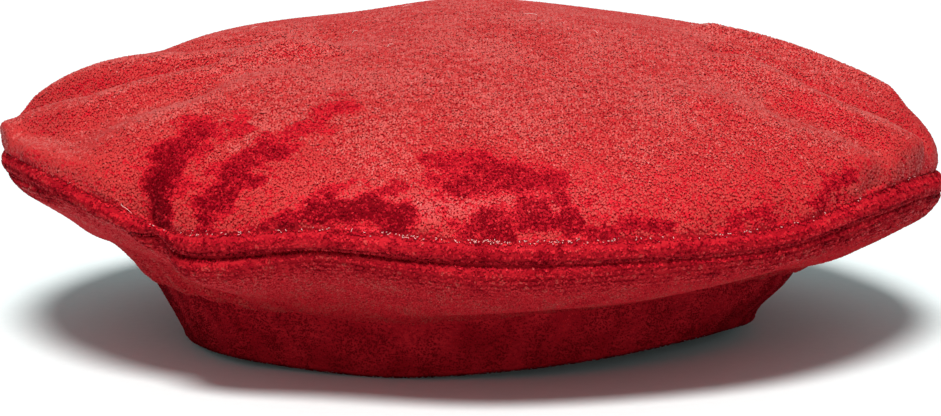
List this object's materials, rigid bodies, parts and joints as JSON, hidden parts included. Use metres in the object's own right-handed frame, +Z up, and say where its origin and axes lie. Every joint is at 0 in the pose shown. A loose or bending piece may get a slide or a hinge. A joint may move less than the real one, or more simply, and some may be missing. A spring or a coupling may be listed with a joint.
{
  "type": "beret",
  "caption": "Round lined velvet beret: full crown disc, turned-in underside, rolled edge seam and a narrow folded headband with a ribbon sweatband.",
  "frame": {"origin": "middle of the headband's lower edge, in the plane that the beret rests on", "axes": "+Z up through the crown, +X towards the wearer's left, -Y towards the front"},
  "size_m": [0.2814, 0.2814, 0.099],
  "materials": {
    "velvet": "pile velvet, brushed, soft sheen",
    "interlining": "matt woven cotton",
    "stiffening": "matt buckram",
    "satin": "smooth satin weave",
    "grosgrain": "ribbed ribbon, low sheen",
    "thread": "spun polyester thread",
    "label_tape": "woven tape, satin"
  },
  "bodies": {
    "hat": {"crown_panel": "velvet", "under_panel": "velvet", "rim_welt": "velvet", "rim_seam_thread": "thread", "welt_thread": "thread", "crown_interlining": "interlining", "under_interlining": "interlining", "crown_lining": "satin", "under_lining": "satin", "lining_rim_thread": "thread", "lining_tacks": "thread", "lining_label": "label_tape", "headband": "velvet", "headband_stiffener": "stiffening", "headband_seam_thread": "thread", "headband_join_thread": "thread", "sweatband": "grosgrain", "sweatband_thread": "thread", "sweatband_overlap": "grosgrain", "lining_seam_thread": "thread", "care_label_thread": "thread"},
    "care_label": {"care_label": "label_tape"}
  },
  "joints": [
    {"name": "care_label_lift", "type": "hinge", "parent": "hat", "child": "care_label", "pos_m": [0.08714, 0, 0.0225], "axis": [0, 1, 0], "range_deg": [0, 110]}
  ]
}
